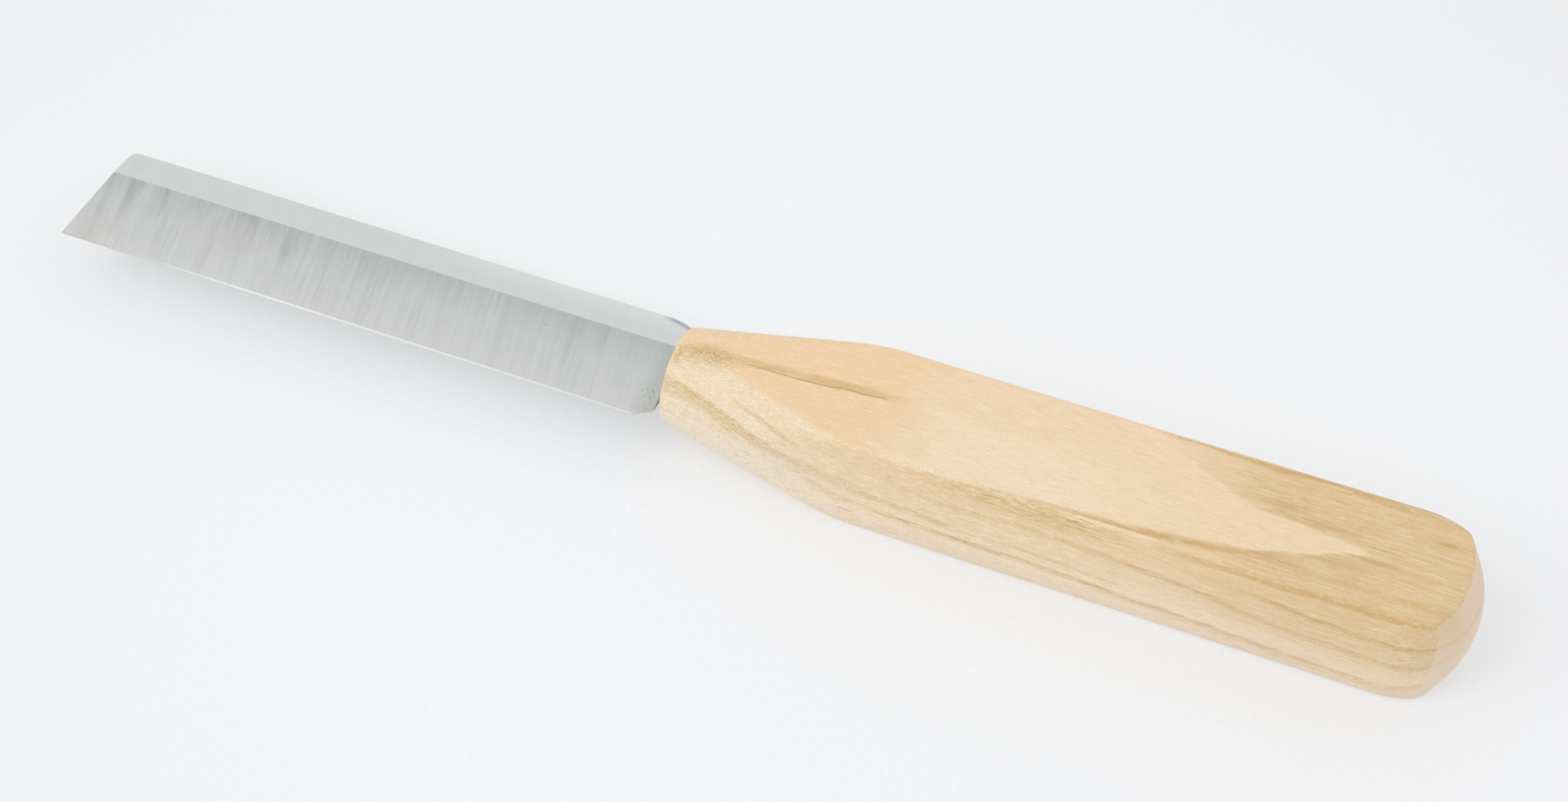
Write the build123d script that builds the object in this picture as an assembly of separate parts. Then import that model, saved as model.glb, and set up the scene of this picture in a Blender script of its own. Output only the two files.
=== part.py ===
"""A chip carving knife: a straight blade with a slanted tip, glued into a one-piece wooden handle.

Frame: millimetres, +X runs from the tip of the blade to the butt of the handle, +Y points to the
spine, so the cutting edge is on the -Y side, and +Z is up. The knife lies on the flat underside of
its handle. The origin is the middle of the bounding box, on the surface that the knife lies on.
"""
from build123d import *

import os
from math import acos, cos, radians, sin, tan

# ---------------------------------------------------------------- driving dimensions (mm)
overall_length = 220.0
handle_length = 119.4
handle_width = 20.0
handle_thickness = 18.2

neck_front_radius = 7.45      # the neck is a cone that ends in a round front face
neck_half_angle = 11.4        # degrees
front_lip_radius = 0.6        # rounding of the rim of the front face
long_edge_radius = 0.9        # soft ridges along the handle

butt_corner_radius = 13.5     # the sides turn in along this arc just before the butt
butt_corner_inset = 1.45      # how far they have come in where they meet the end grain
dome_height = 5.0             # end grain: its apex, above the two upright corner edges
dome_drop_at_flats = 2.9      # end grain: its apex, above the middle of the top and bottom edges
dome_roundness_across = 0.65  # 1 for a plain parabola, less for a fuller, squarer pillow
dome_roundness_up = 0.5

plate_thickness = 2.5
spine_offset = 9.3            # spine, from the handle's centre line
edge_offset = 9.5             # cutting edge, from the handle's centre line
flat_band_width = 5.2         # unground band along the spine
behind_edge_thickness = 0.3   # the ground bevel ends this thick
edge_bevel_width = 0.3        # the fine cutting bevel
edge_land = 0.06              # what is left of the thickness at the very edge
spine_edge_radius = 0.25      # eased edges along the spine

tip_slant = 1.8               # the spine end of the tip stands back by this much
tip_corner_radius = 1.8
heel_chamfer_length = 2.7
heel_chamfer_height = 2.1
shoulder_gap = 0.7            # the blade's back end stands off the wood by this much
spine_fall_length = 6.0       # a gentle curve ends the spine
spine_fall_drop = 1.3

tang_width = 10.5
tang_length = 78.0            # from the front face of the handle
tang_end_chamfer = 2.5
glue_gap = 0.35               # glue line between tang and wood, on every side
glue_plug = 3.0               # glue beyond the end of the tang

# ---------------------------------------------------------------- derived places
half_width = handle_width / 2
half_thickness = handle_thickness / 2
mid_z = half_thickness                      # height of the knife's centre line
tip_x = -overall_length / 2
butt_x = overall_length / 2
front_x = butt_x - handle_length            # front face of the handle
crease_x = butt_x - dome_height             # upright corner edges of the butt
crease_y = half_width - butt_corner_inset
heel_x = front_x - shoulder_gap             # back end of the blade
grind_y = spine_offset - flat_band_width    # line between the flat band and the ground bevel


# ---------------------------------------------------------------- handle
def bar_outline():
    """Outline of the bar from above: straight sides that turn in just before the butt."""
    turn = acos(1 - butt_corner_inset / butt_corner_radius)
    turn_in_x = crease_x - butt_corner_radius * sin(turn)
    middle = (
        turn_in_x + butt_corner_radius * sin(turn / 2),
        half_width - butt_corner_radius * (1 - cos(turn / 2)),
    )
    side = Polyline((front_x, 0), (front_x, half_width), (turn_in_x, half_width))
    corner = ThreePointArc((turn_in_x, half_width), middle, (crease_x, crease_y))
    end = Line((crease_x, crease_y), (crease_x, 0))
    half = side + corner + end
    return make_face((half + mirror(half, Plane.XZ)).edges())


def plain_bar():
    """The bar with its soft long ridges, before the neck and the end grain are shaped."""
    bar = extrude(bar_outline(), half_thickness, both=True)
    long_edges = bar.edges().filter_by(Axis.X)
    return fillet(long_edges, long_edge_radius)


def pillow_controls(roundness):
    """Bezier control values, from -1 to 1, of roundness * t^2 + (1 - roundness) * t^4."""
    squares = (1, 0, -1 / 3, 0, 1)
    fourths = (1, -1, 1, -1, 1)
    return [roundness * t2 + (1 - roundness) * t4 for t2, t4 in zip(squares, fourths)]


def end_grain():
    """A pillow behind the crease lines, highest in the middle and lower towards the flats.

    Its depth under the apex is dome_height * U + dome_drop_at_flats * V * (1 - U), where U and V
    rise from 0 in the middle to 1 at the sides and at the flats.
    """
    places = (-1, -0.5, 0, 0.5, 1)
    across = pillow_controls(dome_roundness_across)
    up = pillow_controls(dome_roundness_up)
    points = [
        [
            (
                butt_x - dome_height * side_fall - dome_drop_at_flats * flat_fall * (1 - side_fall),
                crease_y * u,
                half_thickness * v,
            )
            for v, flat_fall in zip(places, up)
        ]
        for u, side_fall in zip(places, across)
    ]
    face = Face.make_bezier_surface(points)
    return extrude(face, dome_height * 2, dir=(-1, 0, 0))


def neck_cone():
    """The cone that the neck is turned to. It is wider than the bar before it reaches the butt."""
    length = handle_length + 1
    back_radius = neck_front_radius + length * tan(radians(neck_half_angle))
    cone = Cone(neck_front_radius, back_radius, length, align=(Align.CENTER, Align.CENTER, Align.MIN))
    return Pos(front_x, 0, 0) * Rot(0, 90, 0) * cone


def mortise():
    """The slot that the tang is glued into, open at the front face."""
    depth = tang_length + glue_plug
    slot = Box(
        depth,
        tang_width + 2 * glue_gap,
        plate_thickness + 2 * glue_gap,
        align=(Align.MIN, Align.CENTER, Align.CENTER),
    )
    return Pos(front_x, 0, 0) * slot


def make_handle():
    body = (plain_bar() + end_grain()) & neck_cone()
    front_rim = body.edges().sort_by(Axis.X)[0]
    body = fillet(front_rim, front_lip_radius)
    return Pos(0, 0, mid_z) * (body - mortise())


# ---------------------------------------------------------------- blade
def blade_outline():
    """Outline of the blade from above, from the tip to its back end."""
    tip_edge = (tip_x, -edge_offset)
    tip_spine = (tip_x + tip_slant, spine_offset)
    fall_start = (heel_x - spine_fall_length, spine_offset)
    fall_end = (heel_x, spine_offset - spine_fall_drop)
    chamfer_top = (heel_x, -edge_offset + heel_chamfer_height)
    chamfer_bottom = (heel_x - heel_chamfer_length, -edge_offset)
    outline = Polyline(chamfer_top, chamfer_bottom, tip_edge, tip_spine, fall_start)
    outline += TangentArc(fall_start, fall_end, tangent=(1, 0))
    outline += Line(fall_end, chamfer_top)
    plan = make_face(outline.edges())
    corner = plan.vertices().group_by(Axis.Y)[-1].sort_by(Axis.X)[0]
    return fillet(corner, tip_corner_radius)


def blade_section():
    """Section across the blade: flat band, ground bevel and fine cutting bevel, on both faces."""
    half_plate = plate_thickness / 2
    bevel_end_y = -edge_offset + edge_bevel_width
    upper = [
        (spine_offset, half_plate),
        (grind_y, half_plate),
        (bevel_end_y, behind_edge_thickness / 2),
        (-edge_offset, edge_land / 2),
    ]
    lower = [(y, -z) for y, z in reversed(upper)]
    section = make_face(Polyline(*upper, *lower, close=True))
    spine_corners = section.vertices().group_by(Axis.X)[-1]
    section = fillet(spine_corners, spine_edge_radius)
    return Pos(tip_x, 0, 0) * extrude(Plane.YZ * section, overall_length)


def make_tang():
    length = tang_length + shoulder_gap
    bar = Box(
        length, tang_width, plate_thickness, align=(Align.MIN, Align.CENTER, Align.CENTER)
    )
    end_corners = bar.edges().filter_by(Axis.Z).group_by(Axis.X)[-1]
    return Pos(heel_x, 0, 0) * chamfer(end_corners, tang_end_chamfer)


def make_blade():
    plan = extrude(blade_outline(), plate_thickness, both=True)
    return Pos(0, 0, mid_z) * ((plan & blade_section()) + make_tang())


# ---------------------------------------------------------------- glue
def make_tang_adhesive():
    """Cured glue that fills the mortise round the tang and beyond its end."""
    return Pos(0, 0, mid_z) * (mortise() - make_tang())


# ---------------------------------------------------------------- export
parts = {
    "blade": make_blade(),
    "handle": make_handle(),
    "tang_adhesive": make_tang_adhesive(),
}

os.makedirs("parts", exist_ok=True)
for name, shape in parts.items():
    export_step(shape, f"parts/{name}.step")
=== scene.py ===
"""A chip carving knife on a pale studio table: materials, a softened handle, camera and light.

Frame, shared with the CAD model: +X runs from the tip to the butt, +Y points to the spine, +Z is up,
and the origin is on the table. Blender's unit is the metre. The handle's shape, the patterns of the
materials and the names that end in _mm are in millimetres.
"""

from functools import reduce
from math import acos, cos, pi, radians, sin, sqrt, tan

import bpy
import numpy as np
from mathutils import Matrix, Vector


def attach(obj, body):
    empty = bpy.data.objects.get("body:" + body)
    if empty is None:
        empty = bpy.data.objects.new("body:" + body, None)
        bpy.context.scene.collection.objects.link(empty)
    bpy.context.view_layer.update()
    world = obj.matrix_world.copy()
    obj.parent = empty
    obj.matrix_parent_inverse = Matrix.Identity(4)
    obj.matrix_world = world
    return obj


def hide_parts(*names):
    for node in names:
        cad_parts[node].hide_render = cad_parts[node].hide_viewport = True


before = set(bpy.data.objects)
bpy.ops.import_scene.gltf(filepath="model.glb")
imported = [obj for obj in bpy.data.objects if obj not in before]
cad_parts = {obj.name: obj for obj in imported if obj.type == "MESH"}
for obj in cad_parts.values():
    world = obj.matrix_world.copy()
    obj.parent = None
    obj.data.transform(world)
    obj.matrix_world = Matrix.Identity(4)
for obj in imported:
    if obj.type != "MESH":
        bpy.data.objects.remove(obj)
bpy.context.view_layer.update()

MM = 0.001

# ---------------------------------------------------------------- the handle's shape, as in the CAD (mm)
FRONT_X = -9.4                # front face, round, where the blade goes in
BUTT_X = 110.0
HALF_WIDTH = 10.0
HALF_THICKNESS = 9.1
MID_Z = 9.1
NECK_FRONT_RADIUS = 7.45
NECK_HALF_ANGLE = radians(11.4)
CORNER_RADIUS = 13.5          # the sides turn in along this arc just before the butt
CORNER_INSET = 1.45
DOME_HEIGHT = 5.0
DOME_DROP_AT_FLATS = 2.9
ROUNDNESS_ACROSS = 0.65
ROUNDNESS_UP = 0.5
MORTISE_DEPTH = 81.0
MORTISE_HALF_WIDTH = 5.6
MORTISE_HALF_HEIGHT = 1.6

CREASE_X = BUTT_X - DOME_HEIGHT
CREASE_Y = HALF_WIDTH - CORNER_INSET
TURN_IN_X = CREASE_X - CORNER_RADIUS * sin(acos(1 - CORNER_INSET / CORNER_RADIUS))

# How far from an edge its rounding starts.
LONG_RIDGE_SOFTNESS = 1.1
LEAF_SOFTNESS = 0.7
BUTT_SOFTNESS = 0.35
RIM_SOFTNESS = 0.7

# The mesh: rings of points along the bar, and a fan of tilted rings at each end.
COLUMNS = 240                 # points in each ring
RING_STEP = 0.5
FRONT_FAN_X = FRONT_X + 4
FRONT_FAN_TILT = radians(-33)
FRONT_FAN_RINGS = 40
BUTT_FAN_X = 96.0
BUTT_FAN_TILT = radians(89)
BUTT_FAN_RINGS = 110
RAY_HALVINGS = 28             # steps that find where a ray leaves the handle
SHARP_EDGE = radians(50)


# ---------------------------------------------------------------- handle mesh
def smooth_max(a, b, softness):
    """The larger of two distances, blended where they are closer than softness."""
    closeness = np.clip(1 - np.abs(a - b) / softness, 0, None)
    return np.maximum(a, b) + closeness**2 * softness / 4


def neck_radius(x):
    return NECK_FRONT_RADIUS + (x - FRONT_X) * tan(NECK_HALF_ANGLE)


def sides_distance(x, y):
    """Distance outside the two long sides, which turn in along an arc just before the butt."""
    along = np.clip(x, TURN_IN_X, CREASE_X) - TURN_IN_X
    centre_y = HALF_WIDTH - CORNER_RADIUS
    return np.hypot(along, y - centre_y) - CORNER_RADIUS


def pillow(t, roundness):
    """A profile that rises from 0 in the middle to 1 at the edge, and its slope there."""
    rise = roundness * t**2 + (1 - roundness) * t**4
    slope = 2 * roundness * t + 4 * (1 - roundness) * t**3
    return rise, slope


def dome_distance(x, y, z):
    """Distance outside the domed end grain."""
    across, slope_across = pillow(y / CREASE_Y, ROUNDNESS_ACROSS)
    up, slope_up = pillow(z / HALF_THICKNESS, ROUNDNESS_UP)
    surface = BUTT_X - DOME_HEIGHT * across - DOME_DROP_AT_FLATS * up * (1 - across)
    slope_y = slope_across * (DOME_HEIGHT - DOME_DROP_AT_FLATS * up) / CREASE_Y
    slope_z = slope_up * DOME_DROP_AT_FLATS * (1 - across) / HALF_THICKNESS
    return (x - surface) / np.sqrt(1 + slope_y**2 + slope_z**2)


def handle_distance(points):
    """Distance outside the handle, negative inside, with every edge eased as if sanded."""
    x = points[..., 0]
    y = np.abs(points[..., 1])
    z = np.abs(points[..., 2] - MID_Z)
    cone = (np.hypot(y, z) - neck_radius(x)) * cos(NECK_HALF_ANGLE)
    distance = smooth_max(sides_distance(x, y), z - HALF_THICKNESS, LONG_RIDGE_SOFTNESS)
    distance = smooth_max(distance, cone, LEAF_SOFTNESS)
    distance = smooth_max(distance, dome_distance(x, y, z), BUTT_SOFTNESS)
    return smooth_max(distance, FRONT_X - x, RIM_SOFTNESS)


def cast(origins, directions):
    """Where rays from inside the handle meet its surface."""
    near = np.zeros(origins.shape[:-1])
    far = np.full(origins.shape[:-1], 2.5 * HALF_WIDTH)
    for _ in range(RAY_HALVINGS):
        middle = (near + far) / 2
        inside = handle_distance(origins + middle[..., None] * directions) < 0
        near = np.where(inside, middle, near)
        far = np.where(inside, far, middle)
    return origins + near[..., None] * directions


def outer_loops(angles):
    """Rings of points on the outside, from the front face to the butt, one ray for each angle."""
    stations = [(FRONT_FAN_X, tilt) for tilt in np.linspace(FRONT_FAN_TILT, 0, FRONT_FAN_RINGS)]
    stations += [(x, 0) for x in np.arange(FRONT_FAN_X + RING_STEP, BUTT_FAN_X, RING_STEP)]
    stations += [(BUTT_FAN_X, tilt) for tilt in np.linspace(0, BUTT_FAN_TILT, BUTT_FAN_RINGS)]
    xs, tilts = np.array(stations).T
    origins = np.zeros((len(stations), len(angles), 3))
    origins[..., 0] = xs[:, None]
    origins[..., 2] = MID_Z
    directions = np.empty_like(origins)
    directions[..., 0] = np.sin(tilts)[:, None]
    directions[..., 1] = np.cos(tilts)[:, None] * np.cos(angles)
    directions[..., 2] = np.cos(tilts)[:, None] * np.sin(angles)
    return cast(origins, directions)


def mortise_loop(x, angles):
    """A ring of points on the rectangle of the mortise, with its four corners among them."""
    with np.errstate(divide="ignore"):
        to_sides = MORTISE_HALF_WIDTH / np.abs(np.cos(angles))
        to_flats = MORTISE_HALF_HEIGHT / np.abs(np.sin(angles))
    reach = np.minimum(to_sides, to_flats)
    ring = np.stack([reach * np.cos(angles), reach * np.sin(angles)], axis=-1)
    for side in (-1, 1):
        for level in (-1, 1):
            corner = np.array((side * MORTISE_HALF_WIDTH, level * MORTISE_HALF_HEIGHT))
            ring[np.linalg.norm(ring - corner, axis=1).argmin()] = corner
    return np.column_stack([np.full(len(angles), x), ring[:, 0], ring[:, 1] + MID_Z])


def mesh_piece(name, vertices_mm, faces, sharp_angle):
    """A smooth-shaded mesh object, with edges above the given angle kept sharp."""
    mesh = bpy.data.meshes.new(name)
    mesh.from_pydata((np.asarray(vertices_mm) * MM).tolist(), [], faces)
    mesh.shade_smooth()
    mesh.set_sharp_from_angle(angle=sharp_angle)
    piece = bpy.data.objects.new(name, mesh)
    bpy.context.scene.collection.objects.link(piece)
    return piece


def make_handle():
    """The handle as one closed skin: mortise, front face, neck, bar and domed end grain."""
    angles = np.arange(COLUMNS) * 2 * pi / COLUMNS
    loops = [mortise_loop(FRONT_X + MORTISE_DEPTH, angles), mortise_loop(FRONT_X, angles)]
    loops += list(outer_loops(angles))
    ends = [(FRONT_X + MORTISE_DEPTH, 0, MID_Z), (BUTT_X, 0, MID_Z)]
    vertices = np.vstack(loops + ends)
    following = np.roll(np.arange(COLUMNS), -1)
    faces = []
    for row in range(len(loops) - 1):
        here, there = row * COLUMNS, (row + 1) * COLUMNS
        faces += [(here + j, there + j, there + k, here + k) for j, k in enumerate(following)]
    mortise_end, butt_pole = len(vertices) - 2, len(vertices) - 1
    last = (len(loops) - 1) * COLUMNS
    faces += [(mortise_end, j, k) for j, k in enumerate(following)]
    faces += [(last + j, butt_pole, last + k) for j, k in enumerate(following)]
    return mesh_piece("turned_handle", vertices, faces, SHARP_EDGE)


# ---------------------------------------------------------------- shader graphs
class Field:
    """A number that varies over a surface: the output of a shader node, with arithmetic."""

    def __init__(self, graph, socket):
        self.graph = graph
        self.socket = socket

    def __add__(self, other):
        return self.graph.math("ADD", self, other)

    def __sub__(self, other):
        return self.graph.math("SUBTRACT", self, other)

    def __rsub__(self, other):
        return self.graph.math("SUBTRACT", other, self)

    def __mul__(self, other):
        return self.graph.math("MULTIPLY", self, other)

    def __truediv__(self, other):
        return self.graph.math("DIVIDE", self, other)

    def __abs__(self):
        return self.graph.math("ABSOLUTE", self)

    __radd__ = __add__

    def sqrt(self):
        return self.graph.math("SQRT", self)

    def hypot(self, other):
        return (self * self + other * other).sqrt()

    def ramp(self, start, end):
        """0 up to start and 1 from end, smooth between; start may be the larger one."""
        inputs = {"Value": self, "From Min": start, "From Max": end}
        return self.graph.node("MapRange", inputs, interpolation_type="SMOOTHSTEP", clamp=True)

    def colours(self, *stops):
        """A colour for every value, from (value, colour) stops in rising order."""
        low, high = stops[0][0], stops[-1][0]
        field = self.graph.node("ValToRGB", {"Fac": (self - low) / (high - low)})
        elements = field.socket.node.color_ramp.elements
        elements[1].position = 1.0
        for value, _ in stops[1:-1]:
            elements.new((value - low) / (high - low))
        for element, (_, colour) in zip(elements, stops):
            element.color = colour
        return field

    def through(self, points):
        """A smooth curve through (input, output) points, level beyond its ends."""
        low_in, low_out = np.min(points, axis=0).tolist()
        high_in, high_out = np.max(points, axis=0).tolist()
        place = (self - low_in) / (high_in - low_in)
        field = self.graph.node("FloatCurve", {"Value": place})
        mapping = field.socket.node.mapping
        knots = mapping.curves[0].points
        while len(knots) < len(points):
            knots.new(0.5, 0.5)
        for knot, (given, result) in zip(knots, points):
            knot.location = ((given - low_in) / (high_in - low_in), (result - low_out) / (high_out - low_out))
            knot.handle_type = "AUTO_CLAMPED"
        mapping.extend = "HORIZONTAL"
        mapping.update()
        return field * (high_out - low_out) + low_out


class Graph:
    """The node tree of one material."""

    def __init__(self, name):
        self.material = bpy.data.materials.new(name)
        self.material.use_nodes = True
        self.tree = self.material.node_tree
        self.tree.nodes.clear()
        place = self.raw("TexCoord").outputs["Object"]
        self.place = self.raw("VectorMath", {0: place, 1: (1 / MM,) * 3}, operation="MULTIPLY").outputs[0]
        self.x, self.y, self.z = self.split(self.place)
        self.facing_x, _, self.facing_z = self.split(self.raw("TexCoord").outputs["Normal"])

    def raw(self, kind, inputs=None, **properties):
        """A new shader node, with its inputs linked to fields and sockets or set to values."""
        node = self.tree.nodes.new("ShaderNode" + kind)
        for name, value in properties.items():
            setattr(node, name, value)
        for key, value in (inputs or {}).items():
            value = value.socket if isinstance(value, Field) else value
            if isinstance(value, bpy.types.NodeSocket):
                self.tree.links.new(value, node.inputs[key])
            else:
                node.inputs[key].default_value = value
        return node

    def split(self, vector):
        parts = self.raw("SeparateXYZ", {0: vector}).outputs
        return [Field(self, parts[i]) for i in range(3)]

    def node(self, kind, inputs=None, output=0, **properties):
        """One output of a new shader node."""
        return Field(self, self.raw(kind, inputs, **properties).outputs[output])

    def math(self, operation, *values):
        """The result of a Math node on fields and numbers."""
        return self.node("Math", dict(enumerate(values)), operation=operation)

    def stretched(self, grain_mm, shift, turn):
        """The place in units of grain_mm, after a turn in degrees about the vertical."""
        turning = {"Vector": self.place, "Angle": radians(turn)}
        turned = self.raw("VectorRotate", turning, rotation_type="Z_AXIS").outputs[0]
        scale = tuple(1 / length for length in grain_mm)
        inputs = {0: turned, 1: scale, 2: (shift,) * 3}
        return self.raw("VectorMath", inputs, operation="MULTIPLY_ADD").outputs[0]

    def noise(self, grain_mm, shift=0.0, detail=2.0, roughness=0.5, turn=0.0):
        """Noise from about -0.5 to 0.5, whose features are about grain_mm long in x, y and z."""
        vector = self.stretched(grain_mm, shift, turn)
        inputs = {"Vector": vector, "Scale": 1.0, "Detail": detail, "Roughness": roughness}
        return self.node("TexNoise", inputs) - 0.5

    def specks(self, grain_mm, size, shift=0.0):
        """1 at the middle of many scattered specks, which fill this share of their grain_mm cells."""
        vector = self.stretched(grain_mm, shift, turn=0.0)
        return self.node("TexVoronoi", {"Vector": vector, "Scale": 1.0}).ramp(size, size * 0.3)

    def blob(self, centre, reach):
        """1 at a centre, falling to 0 at the surface of an ellipsoid with these half axes."""
        terms = [(axis - c) / r for axis, c, r in zip((self.x, self.y, self.z), centre, reach)]
        squares = terms[0] * terms[0] + terms[1] * terms[1] + terms[2] * terms[2]
        return squares.sqrt().ramp(1.0, 0.0)

    def mix(self, amount, below, above):
        """Colour above over colour below, by amount."""
        inputs = {0: amount, 6: below, 7: above}
        return self.node("Mix", inputs, 2, data_type="RGBA", clamp_factor=True)

    def largest(self, fields):
        """The largest of several fields at every point."""
        return reduce(lambda a, b: self.math("MAXIMUM", a, b), fields)

    def bump(self, height_mm, strength):
        inputs = {"Height": height_mm, "Strength": strength, "Distance": MM}
        return self.node("Bump", inputs)

    def finish(self, **inputs):
        """Ends the graph with a Principled shader, and returns the material."""
        named = {name.replace("_", " "): value for name, value in inputs.items()}
        shader = self.raw("BsdfPrincipled", named)
        self.raw("OutputMaterial", {"Surface": shader.outputs[0]})
        return self.material


def srgb(red, green, blue):
    """A colour given as 0-255 screen values, as the linear RGBA that shaders take."""
    def linear(value):
        share = value / 255
        return share / 12.92 if share <= 0.04045 else ((share + 0.055) / 1.055) ** 2.4
    return (linear(red), linear(green), linear(blue), 1.0)


# ---------------------------------------------------------------- wood
PITH_Y, PITH_Z = 4.0, -12.0   # the growth rings curve round a centre below the handle


def near_side_y(x, z):
    """The near surface at a length x and height z: the cone of the neck, then the flat side."""
    return -min(HALF_WIDTH, sqrt(neck_radius(x) ** 2 - (z - MID_Z) ** 2))


def ring_radius(x, z):
    """Radius about the pith of the ring that reaches the near side at x and z."""
    return sqrt((near_side_y(x, z) - PITH_Y) ** 2 + (z - PITH_Z) ** 2)


# Dark late wood lines. Each has (x, height on the near side) points and (x, strength) points.
RING_LINES = {
    "neck": (
        [(-9, 14.5), (-4, 14.6), (0, 14.4), (5, 13.7), (8, 13.2), (10, 12.3), (12, 11.4), (15, 10.0),
         (20, 9.2), (25, 8.7), (30, 8.4), (34, 7.9), (42, 7.4), (48, 7.6), (53, 7.1), (60, 6.4)],
        [(-9, 0.7), (0, 0.9), (8, 0.8), (14, 0.45), (22, 0.5), (30, 0.6), (34, 0.8), (38, 0.3), (50, 0.2),
         (62, 0.0)],
    ),
    "low": (
        [(-9, 12.0), (0, 11.9), (5, 12.0), (8, 11.5), (12, 10.0), (15, 8.0), (18, 6.8), (20, 6.3),
         (25, 5.8), (30, 5.5), (40, 5.2), (50, 5.1), (60, 4.6), (66, 4.2), (75, 3.8), (85, 3.2), (105, 2.6)],
        [(-9, 0.1), (10, 0.2), (16, 0.45), (25, 0.7), (40, 0.85), (60, 0.8), (75, 0.7), (90, 0.55),
         (105, 0.45)],
    ),
    "middle": (
        [(25, 14.0), (29, 13.1), (33, 12.5), (37, 12.2), (42, 12.6), (48, 12.9), (52, 12.8), (55, 12.4),
         (60, 12.2), (65, 11.6), (70, 11.2), (75, 10.4), (78, 9.6), (82, 9.0), (86, 8.6), (95, 8.2),
         (100, 7.8), (105, 7.2)],
        [(25, 0.0), (30, 0.3), (38, 0.5), (54, 0.6), (66, 0.75), (76, 0.75), (84, 0.6), (95, 0.6),
         (105, 0.6)],
    ),
    "upper": (
        [(55, 16.5), (60, 16.0), (70, 14.5), (77, 13.8), (83, 13.7), (86, 13.2), (90, 12.8), (95, 12.4),
         (100, 12.2), (105, 11.5)],
        [(55, 0.1), (70, 0.15), (80, 0.3), (86, 1.0), (93, 0.7), (96, 0.55), (101, 1.0), (105, 1.0)],
    ),
}

INNER_RINGS = (12.9, 14.6, 16.6)      # radii of the rings that only reach the underside

# Strokes along the grain: the axis across it, (x, place on that axis) points, (x, strength)
# points and half of the width.
TOP_STROKES = (
    ("y", [(62, 9.3), (76, 9.0), (92, 9.1)], [(60, 0.0), (66, 0.7), (88, 0.7), (94, 0.0)], 0.4),
    (
        "y", [(44, -9.9), (60, -9.1), (68, -8.3), (78, -6.9)],
        [(42, 0.0), (50, 0.7), (70, 0.8), (79, 0.3)], 0.7,
    ),
    ("y", [(68, -9.9), (86, -9.7)], [(68, 0.0), (73, 0.7), (83, 0.6), (88, 0.0)], 0.3),
    (
        "y", [(-2, -1.0), (4, -0.75), (10, -0.35), (15, 0.0), (20, 0.45), (24, 0.75)],
        [(-3, 0.3), (2, 0.4), (6, 0.6), (10, 0.35), (13, 0.6), (20, 0.5), (27, 0.0)], 0.8,
    ),
)
TOP_DARK_STROKES = (
    (
        "y", [(-1, -1.5), (5, -1.3), (10, -1.1), (15, -0.7), (20, -0.2), (23, 0.0), (26, 0.2)],
        [(1, 0.0), (5, 0.5), (12, 0.65), (18, 0.7), (24, 0.0)], 0.15,
    ),
    ("y", [(90, -10.0), (100, -9.9)], [(92, 0.0), (94, 0.6), (97, 0.5), (98, 0.0)], 0.3),
    ("y", [(98, -9.8), (106, -9.2)], [(99, 0.0), (101, 0.6), (104, 0.6), (105, 0.0)], 0.3),
)
SIDE_STROKES = (
    (
        "z", [(-9, 13.6), (-4, 13.8), (4, 12.9), (10, 11.7), (16, 10.4), (24, 9.4)],
        [(-9, 0.45), (2, 0.5), (14, 0.4), (26, 0.0)], 0.9,
    ),
    ("z", [(3, 16.2), (10, 15.6), (14, 14.9)], [(2, 0.0), (6, 0.5), (11, 0.5), (14, 0.0)], 0.35),
    ("z", [(45, 7.6), (62, 6.4)], [(44, 0.0), (50, 0.35), (58, 0.35), (63, 0.0)], 0.35),
    (
        "z", [(66, 17.3), (80, 17.2), (95, 17.6), (105, 17.4)],
        [(64, 0.0), (74, 0.6), (92, 0.7), (104, 0.6)], 0.6,
    ),
)
SIDE_DARK_STROKES = (
    ("z", [(19, 3.75), (23, 3.65)], [(19.4, 0.0), (20.3, 0.5), (21.6, 0.5), (22.4, 0.0)], 0.16),
)

PALE_WOOD = srgb(244, 223, 193)
CLEAR_WOOD = srgb(243, 216, 181)
PINK_WOOD = srgb(243, 210, 169)
STRIPE_WOOD = srgb(237, 218, 188)
FIBRE_SHEEN = srgb(252, 240, 220)
STAIN = srgb(218, 187, 136)
DEEP_STAIN = srgb(200, 166, 106)
RED_STAIN = srgb(220, 182, 138)
OLIVE_STAIN = srgb(207, 175, 106)
LIGHT_STREAK = srgb(238, 212, 168)
LATE_WOOD = srgb(200, 161, 94)
DARK_MARK = srgb(118, 84, 44)

# Colours that change with the height above the table, as (z, colour). On the sides and the neck, the greyer
# tones low down next to the table are painted shade.
SIDE_WOOD_AND_SHADE = (
    (1.5, srgb(232, 214, 192)),
    (4.5, srgb(242, 224, 198)),
    (8.5, srgb(236, 213, 180)),
    (14.0, srgb(237, 207, 165)),
)
NECK_WOOD_AND_SHADE = (
    (2.0, srgb(235, 230, 221)),
    (12.0, srgb(236, 222, 198)),
)
END_CORNER_WOOD = (
    (4.0, srgb(232, 214, 193)),
    (16.0, srgb(229, 201, 165)),
)
END_WOOD = srgb(238, 219, 200)


def ring_line(g, ring, along, heights, strengths):
    """How dark one late wood line is: a sharp outer border, fading inwards."""
    path = [(x, ring_radius(x, z)) for x, z in heights]
    offset = ring - g.x.through(path)
    line = offset.ramp(0.35, 0.0) * offset.ramp(-1.2, -0.05)
    return line * g.x.through(strengths) * along


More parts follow.
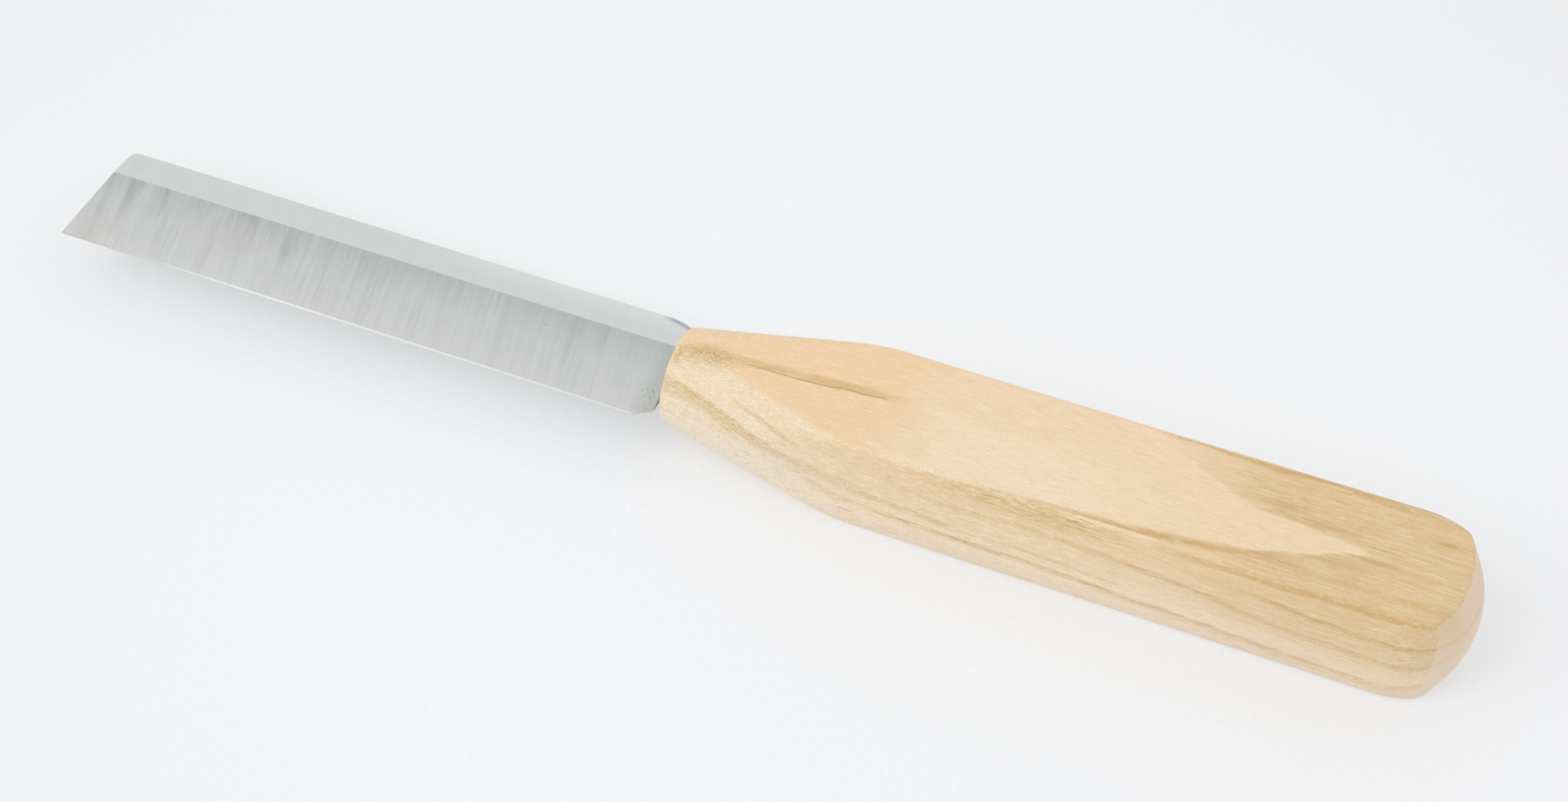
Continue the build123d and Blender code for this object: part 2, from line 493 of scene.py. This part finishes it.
def ring_lines(g):
    """The late wood lines of the sides and the underside, which leave the far half of the top clear."""
    wander = g.noise((22, 3, 3), shift=4.1, detail=3) * 0.5 + g.noise((4, 0.8, 0.8), shift=1.3) * 0.22
    ring = (g.y - PITH_Y).hypot(g.z - PITH_Z) + wander
    along = g.noise((3, 0.3, 0.3), shift=7.7, detail=4, roughness=0.7).ramp(-0.25, 0.15)
    lines = [ring_line(g, ring, along, *points) for points in RING_LINES.values()]
    for radius in INNER_RINGS:
        offset = ring - radius
        lines.append(offset.ramp(0.3, 0.0) * offset.ramp(-0.9, 0.0) * along * 0.6)
    far_top = g.facing_z.ramp(0.2, 0.5) * g.y.ramp(0.0, 1.5)
    return g.largest(lines) * (1 - far_top)


def strokes(g, table, shift):
    """How dark the strokes of one table are, with frayed borders and broken into flecks."""
    fray = g.noise((3, 0.3, 0.3), shift=shift, detail=3, roughness=0.6)
    flecks = g.noise((1.6, 0.2, 0.2), shift=shift + 3, detail=4, roughness=0.7).ramp(-0.4, 0.0)
    wander = g.noise((3.5, 2, 2), shift=shift + 7, detail=3) * 0.9
    fields = []
    for axis, path, strengths, half_width in table:
        offset = abs(getattr(g, axis) - g.x.through(path) + wander + fray * half_width)
        fields.append(offset.ramp(half_width * 1.5, half_width * 0.2) * g.x.through(strengths))
    return g.largest(fields) * flecks


# The clear tongue that points to the butt on the top flat: (x, y) points of its two borders.
TONGUE_FAR_BORDER = (
    (60, 9.5), (66, 6.2), (70, 4.2), (75, 1.8), (82, 0.8), (88, 0.3), (92, -0.4), (94, -1.2),
)
TONGUE_NEAR_BORDER = (
    (45, -11.0), (60, -9.2), (68, -8.4), (73, -8.0), (78, -6.5), (82, -5.0), (86, -4.0), (90, -2.2),
    (94, -1.0),
)


def tongue(g):
    """1 inside the clear tongue, 0 in the stained wood round it."""
    fray = g.noise((7, 0.5, 0.5), shift=2.2, detail=3) * 1.6
    inside_far = (g.x.through(TONGUE_FAR_BORDER) - g.y + fray).ramp(-0.3, 0.5)
    inside_near = (g.y - g.x.through(TONGUE_NEAR_BORDER) + fray * 0.4).ramp(-0.2, 0.35)
    return inside_far * inside_near


# Patches of streaky stain on the top flat of the butt: centre and half axes.
BUTT_PATCHES = (
    ((80, -6.0, 18.2), (7, 1.3, 2)),
    ((90, -4.0, 18.2), (9, 1.5, 2)),
    ((95, -2.0, 18.2), (5, 0.9, 2)),
    ((80, 3.0, 18.2), (8, 1.3, 2)),
    ((88, 1.6, 18.2), (5, 0.8, 2)),
    ((78, 8.5, 18.2), (5, 0.9, 2)),
    ((95, 8.5, 18.2), (9, 0.8, 2)),
    ((103, 4.6, 18.2), (6, 1.2, 2)),
)


def clear_wood(g, slow, top, end):
    """The clean wood of the top, the sides, the neck and the end grain, with painted shade low on the sides
    and the neck.
    """
    pink = (g.x + slow * 20 - g.y * 0.3).ramp(30, 22)
    pale = (g.x + slow * 24).ramp(26, 34) * (g.x + slow * 30).ramp(66, 48) * (g.y + slow * 8).ramp(3.5, -1.0)
    top_colour = g.mix(pale * 0.9, g.mix(pink, CLEAR_WOOD, PINK_WOOD), PALE_WOOD)

    # Painted shade: the side and neck colours turn greyer low down, next to the table.
    side_colour = (g.z + slow * 4).colours(*SIDE_WOOD_AND_SHADE)
    neck_colour = (g.z + slow * 3).colours(*NECK_WOOD_AND_SHADE)
    side_colour = g.mix((g.x + slow * 16).ramp(24, 4) * 0.9, side_colour, neck_colour)
    shoulder = g.facing_z.ramp(0.56, 0.72) * g.x.ramp(24, 12)
    side_colour = g.mix(shoulder, side_colour, STRIPE_WOOD)

    corner_colour = (g.z + slow * 3).colours(*END_CORNER_WOOD)
    end_colour = g.mix((g.y + slow * 4).ramp(-8, -2) * 0.6, corner_colour, END_WOOD)
    return g.mix(end, g.mix(top, side_colour, top_colour), end_colour)


def stains(g, colour, streaks, flecks, top, end):
    """The stained wood of the butt, and the olive band below the ridge of the near side."""
    fine = g.noise((4.5, 0.3, 0.3), shift=8.4, detail=5, roughness=0.75)
    butt = g.x.ramp(58, 84)
    top_stain = (1 - tongue(g)) * butt * top
    side_stain = g.x.ramp(60, 92) * g.z.ramp(-2, 13) * (1 - top) * 0.7
    stain = g.math("MAXIMUM", top_stain, side_stain) * (1 - end)
    colour = g.mix(stain * (0.72 + streaks * 0.9), colour, STAIN)
    colour = g.mix(stain * streaks.ramp(0.02, 0.2) * 0.55, colour, DEEP_STAIN)
    colour = g.mix(stain * (fine + flecks * 0.5).ramp(0.0, 0.25) * 0.75, colour, DEEP_STAIN)
    colour = g.mix(stain * (fine + flecks * 0.5).ramp(-0.03, -0.25) * 0.8, colour, LIGHT_STREAK)
    patches = g.largest([g.blob(centre, reach) for centre, reach in BUTT_PATCHES])
    colour = g.mix(patches * top_stain * (0.65 + fine * 2.4), colour, DEEP_STAIN)
    colour = g.mix(g.noise((14, 1.5, 1.5), shift=11.0).ramp(0.02, 0.2) * stain * 0.35, colour, RED_STAIN)
    olive = g.blob((48, -10.2, 17.0), (24, 1.7, 4.8))
    colour = g.mix(olive.ramp(0.0, 0.8) * (0.45 + fine * 5.0), colour, OLIVE_STAIN)
    colour = g.mix(olive.ramp(0.0, 0.8) * (fine + flecks).ramp(0.05, 0.3) * 0.75, colour, DARK_MARK)
    return g.mix(olive.ramp(0.0, 0.4) * (fine + flecks).ramp(-0.03, -0.25) * 0.9, colour, LIGHT_STREAK)


def marks(g, colour, flecks, mottle, flat, side, end):
    """The late wood lines and golden strokes, the smudge at the neck, the dark streaks and the knot."""
    rings = ring_lines(g) * (1 - end * 0.75) * (1 - flat * 0.8)
    golden = [strokes(g, TOP_STROKES, 1.0) * flat, strokes(g, SIDE_STROKES, 2.0) * side, rings]
    colour = g.mix(g.largest(golden) * (1.05 + flecks * 1.2), colour, LATE_WOOD)

    wide_smudge = g.blob((-3.5, -1.3, 17), (8, 3.4, 4))
    front_smudge = g.blob((-8.0, -2, 16), (2.4, 2.6, 3)) * 0.8
    smudge = g.math("MAXIMUM", wide_smudge, front_smudge)
    colour = g.mix(smudge.ramp(0.0, 0.8) * (0.6 + mottle * 4.0), colour, DEEP_STAIN)
    colour = g.mix(smudge * (mottle + flecks).ramp(0.05, 0.35) * 0.7, colour, DARK_MARK)

    pin_knot = g.blob((27.5, -10, 14.3), (0.5, 0.5, 0.3)) * 0.8
    dark = [strokes(g, TOP_DARK_STROKES, 3.0) * flat, strokes(g, SIDE_DARK_STROKES, 4.0) * side, pin_knot]
    return g.mix(g.largest(dark) * 0.8, colour, DARK_MARK)


def grain(g, colour, fibres, flecks, mottle, pores, flat, side, end):
    """Fine fibres, flecks and pores: coarser on the sides, strongest where the neck cuts across them."""
    plain = 1 - end * 0.75
    coarse = side * (0.3 + g.x.ramp(80, 40) * 0.7)
    across_cut = (1 - flat) * g.x.ramp(26, 14)
    speckle = 0.2 + coarse * 0.25 + across_cut * 0.2
    colour = g.mix(fibres.ramp(-0.02, 0.24) * plain * 0.5, colour, STAIN)
    colour = g.mix(fibres.ramp(-0.02, -0.24) * plain * 0.6, colour, FIBRE_SHEEN)
    colour = g.mix(flecks.ramp(0.0, 0.2) * coarse * 0.4, colour, STAIN)
    colour = g.mix(flecks.ramp(0.0, -0.2) * coarse * 0.6, colour, FIBRE_SHEEN)
    colour = g.mix(pores * mottle.ramp(-0.15, 0.15) * plain * 0.3, colour, LATE_WOOD)
    colour = g.mix(mottle.ramp(0.0, 0.2) * speckle * plain, colour, STAIN)
    return g.mix(mottle.ramp(-0.03, -0.2) * speckle * plain, colour, FIBRE_SHEEN)


def wood_material():
    """Pale, even wood with late wood lines, a stained butt and a smudge at the neck."""
    g = Graph("handle_wood")
    flecks = g.noise((1.5, 0.38, 0.38), shift=12.0, detail=5, roughness=0.75)
    slow = g.noise((28, 6, 6), shift=3.3, detail=2)
    streaks = g.noise((9, 0.45, 0.45), shift=5.0, detail=4, roughness=0.6)
    fibres = g.noise((3.2, 0.24, 0.24), shift=9.0, detail=4, roughness=0.75)
    mottle = g.noise((0.4, 0.2, 0.2), shift=6.0, detail=3, roughness=0.75)
    pores = g.specks((0.9, 0.18, 0.18), 0.4, shift=2.7)

    flat = g.facing_z.ramp(0.93, 0.985)
    end = g.facing_x.ramp(0.47, 0.53)
    side = (1 - flat) * (1 - end)
    beyond_near_shoulder = g.math("MAXIMUM", g.x.ramp(16, 24), g.y.ramp(-1.5, 1.5))
    top = g.math("MAXIMUM", flat, g.facing_z.ramp(0.4, 0.8) * beyond_near_shoulder)

    colour = stains(g, clear_wood(g, slow, top, end), streaks, flecks, top, end)
    colour = marks(g, colour, flecks, mottle, flat, side, end)
    colour = grain(g, colour, fibres, flecks, mottle, pores, flat, side, end)
    height = fibres * 0.02 + mottle * 0.012 - pores * 0.01
    return g.finish(
        Base_Color=colour,
        Roughness=0.52 + streaks * 0.15,
        Specular_IOR_Level=0.35,
        Normal=g.bump(height, 0.6),
    )


# ---------------------------------------------------------------- steel and glue
GRIND_Y = 4.1                 # line between the flat band and the ground bevel
BEVEL_END_Y = -9.2            # line between the ground bevel and the cutting bevel
GRIND_LEAN = 11.0             # degrees that the grinding scratches lean towards the tip

# Steel colours of the faces, with painted reflection in them: the band lighter, the ground bevel darker
# towards the grind line.
BAND_STEEL_AND_REFLECTION = srgb(225, 227, 226)
GROUND_STEEL_AND_REFLECTION = (              # (y, colour), from the cutting edge up to the flat band
    (-9.0, srgb(221, 222, 221)),
    (-2.0, srgb(213, 215, 214)),
    (4.0, srgb(197, 199, 199)),
)
# Painted reflection: the cutting bevel, darker towards the tip.
CUTTING_STEEL_AND_REFLECTION = (             # (x, colour), from the tip on
    (-104, srgb(172, 174, 174)),
    (-80, srgb(207, 209, 209)),
)
DULL_STEEL = srgb(178, 180, 180)
BRIGHT_STEEL = srgb(226, 229, 228)
CLOUDY_STEEL = srgb(196, 200, 200)
BRIGHT_SCRATCH = srgb(238, 240, 240)
DARK_SCRATCH = srgb(172, 174, 174)
OLIVE_REFLECTION = srgb(184, 187, 180)
SPINE_GLINT = srgb(236, 238, 234)
WARM_REFLECTION = srgb(208, 200, 190)
COOL_REFLECTION = srgb(160, 166, 172)
GRIME = srgb(110, 110, 108)

# The curve that ends the spine at the handle, as (x, y) points. A cool reflection runs along it.
SPINE_FALL = ((-17, 9.6), (-13, 9.0), (-10, 8.0))


def grinding(g, colour, bevel, hair, scratches, cloud):
    """Cross bands, clouds and scratches that the grinding left, strongest near the flat band."""
    bands = g.noise((2.6, 16.0, 16.0), shift=1.0, detail=3, roughness=0.6, turn=-GRIND_LEAN)
    contrast = (0.12 + g.y.ramp(-7, 3) * 0.4) * (1 + g.x.ramp(-60, -90) * 1.8)
    colour = g.mix(bands.ramp(-0.05, 0.3) * bevel * contrast, colour, DULL_STEEL)
    colour = g.mix(bands.ramp(0.0, -0.3) * bevel * contrast * 0.4, colour, BRIGHT_STEEL)
    colour = g.mix(cloud.ramp(0.0, 0.3) * 0.2, colour, CLOUDY_STEEL)
    colour = g.mix(scratches.ramp(0.0, 0.3) * bevel * 0.45, colour, BRIGHT_SCRATCH)
    colour = g.mix(scratches.ramp(0.0, -0.3) * bevel * 0.5, colour, DARK_SCRATCH)
    return g.mix(hair.ramp(0.0, 0.3) * 0.25, colour, DULL_STEEL)


def steel_marks(g, colour, bevel, cloud):
    """Soft reflections, the eased end of the spine, and the grime and the nick on the bevel."""
    colour = g.mix(g.x.ramp(-15, -10) * bevel * 0.6, colour, OLIVE_REFLECTION)
    colour = g.mix(g.x.ramp(-58, -40) * g.y.ramp(5.5, 9) * 0.6, colour, SPINE_GLINT)
    tint = g.math("MAXIMUM", g.blob((-105, -6.5, 10), (6, 5, 5)), g.blob((-85, -1.5, 10), (12, 2.5, 5)))
    colour = g.mix(tint * (0.25 + cloud * 0.6), colour, WARM_REFLECTION)
    eased = (g.x.through(SPINE_FALL) - g.y).ramp(1.1, 0.4) * g.x.ramp(-16, -13.5)
    colour = g.mix(eased * 0.7, colour, COOL_REFLECTION)
    grime = g.blob((-11.8, -5.5, 10), (2.4, 4.5, 5)) * g.specks((0.45, 0.45, 0.45), 0.6)
    nick = g.blob((-31.5, 1.0, 10), (0.35, 0.25, 1.5))
    return g.mix(g.math("MAXIMUM", grime * 0.35, nick * 0.5), colour, GRIME)


def steel_material():
    """Satin steel: a plain band along the spine, a scratched ground bevel and a darker cutting bevel; how
    light or dark each face is, is painted reflection.
    """
    g = Graph("blade_steel")
    bevel = g.y.ramp(GRIND_Y + 0.03, GRIND_Y - 0.03)
    cutting = g.y.ramp(BEVEL_END_Y + 0.03, BEVEL_END_Y - 0.03)
    hair = g.noise((0.07, 6.0, 6.0), shift=2.0, detail=2, roughness=0.6, turn=-GRIND_LEAN)
    scratches = g.noise((0.5, 30.0, 30.0), shift=5.0, detail=5, roughness=0.8, turn=-GRIND_LEAN)
    cloud = g.noise((6.0, 2.2, 2.2), shift=7.0, detail=4, roughness=0.6)

    # Painted reflection: the band and the ground bevel differ in brightness here.
    colour = g.mix(bevel, BAND_STEEL_AND_REFLECTION, g.y.colours(*GROUND_STEEL_AND_REFLECTION))
    colour = grinding(g, colour, bevel, hair, scratches, cloud)
    # Painted reflection: the cutting bevel, darker towards the tip.
    colour = g.mix(cutting, colour, g.x.colours(*CUTTING_STEEL_AND_REFLECTION))
    colour = steel_marks(g, colour, bevel, cloud)
    return g.finish(
        Base_Color=colour,
        Metallic=1.0,
        Roughness=0.3 + bevel * 0.08 + cloud * 0.05,
        Normal=g.bump(hair * 0.002 + scratches * 0.004, 0.5),
    )


def glue_material():
    """Cured glue, brown and a little cloudy."""
    g = Graph("cured_epoxy")
    cloud = g.noise((0.8, 0.5, 0.5), detail=3)
    colour = g.mix(cloud.ramp(-0.3, 0.3), srgb(150, 122, 78), srgb(190, 162, 112))
    return g.finish(Base_Color=colour, Roughness=0.3 + cloud * 0.2, Normal=g.bump(cloud * 0.03, 0.5))


# ---------------------------------------------------------------- stage
CAMERA_AZIMUTH = radians(22.25)       # from straight across the cutting edge, round towards the butt
CAMERA_ELEVATION = radians(49.855)
CAMERA_DISTANCE = 0.3728
CAMERA_TARGET_MM = (6.91, 1.36, 9.1)
LENS_MM = 58.31
SENSOR_WIDTH_MM = 36.0
NEAREST_SEEN = 0.01

TABLE_REACH_MM = 5000.0
TABLE_PAPER = srgb(193, 195, 198)
TABLE_TOOTH = srgb(199, 201, 204)
TABLE_FAR_SHADE = srgb(182, 183, 185)
TABLE_GLOW = 0.36

SURROUND_COLOUR = (0.994, 0.998, 1.0, 1.0)
SURROUND_STRENGTH = 0.85


def make_camera():
    """The camera of the photograph: where it stood about the knife, and the lens it had."""
    across = cos(CAMERA_ELEVATION)
    towards_camera = Vector(
        (sin(CAMERA_AZIMUTH) * across, -cos(CAMERA_AZIMUTH) * across, sin(CAMERA_ELEVATION))
    )
    data = bpy.data.cameras.new("camera")
    data.lens = LENS_MM
    data.sensor_width = SENSOR_WIDTH_MM
    data.clip_start = NEAREST_SEEN
    camera = bpy.data.objects.new("camera", data)
    camera.location = Vector(CAMERA_TARGET_MM) * MM + CAMERA_DISTANCE * towards_camera
    camera.rotation_mode = "QUATERNION"
    camera.rotation_quaternion = towards_camera.to_track_quat("Z", "Y")
    bpy.context.scene.collection.objects.link(camera)
    bpy.context.scene.camera = camera


def table_material():
    """Pale paper, painted with shade that darkens it away from the knife, which glows a little to keep its
    shadows soft.
    """
    g = Graph("table_paper")
    tooth = g.noise((0.7, 0.7, 0.7), detail=3)
    colour = g.mix(tooth.ramp(-0.4, 0.4), TABLE_PAPER, TABLE_TOOTH)
    # Painted shade: the paper darkens away from the knife.
    colour = g.mix((g.x - 25).hypot(g.y).ramp(40, 240) * 0.8, colour, TABLE_FAR_SHADE)
    return g.finish(
        Base_Color=colour,
        Roughness=0.9,
        Specular_IOR_Level=0.1,
        Emission_Color=(1.0, 1.0, 1.0, 1.0),
        Emission_Strength=TABLE_GLOW,
    )


def make_table():
    """A wide plain table, which isn't part of the knife."""
    reach = TABLE_REACH_MM
    corners = [(-reach, -reach, 0), (reach, -reach, 0), (reach, reach, 0), (-reach, reach, 0)]
    table = mesh_piece("table", corners, [(0, 1, 2, 3)], SHARP_EDGE)
    table.data.materials.append(table_material())


def make_softbox(name, position, size, power):
    """A round area light that faces the origin."""
    data = bpy.data.lights.new(name, "AREA")
    data.shape = "DISK"
    data.size = size
    data.energy = power
    lamp = bpy.data.objects.new(name, data)
    lamp.location = position
    lamp.rotation_mode = "QUATERNION"
    lamp.rotation_quaternion = Vector(position).to_track_quat("Z", "Y")
    bpy.context.scene.collection.objects.link(lamp)


def make_light():
    """One large soft light on the side of the tip and the cutting edge, and an even pale surround."""
    make_softbox("key_softbox", position=(-0.55, -0.50, 0.80), size=0.8, power=2.6)
    world = bpy.data.worlds.new("studio")
    world.use_nodes = True
    background = world.node_tree.nodes["Background"]
    background.inputs["Color"].default_value = SURROUND_COLOUR
    background.inputs["Strength"].default_value = SURROUND_STRENGTH
    bpy.context.scene.world = world
    bpy.context.scene.view_settings.view_transform = "Standard"


# ---------------------------------------------------------------- assembly
def paint(node, material):
    """Gives every material slot of a CAD node one material."""
    node.data.materials.clear()
    node.data.materials.append(material)


make_camera()
make_table()
make_light()

handle = make_handle()
handle.data.materials.append(wood_material())
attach(handle, "root")
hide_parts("handle")

paint(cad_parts["blade"], steel_material())
paint(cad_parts["tang_adhesive"], glue_material())
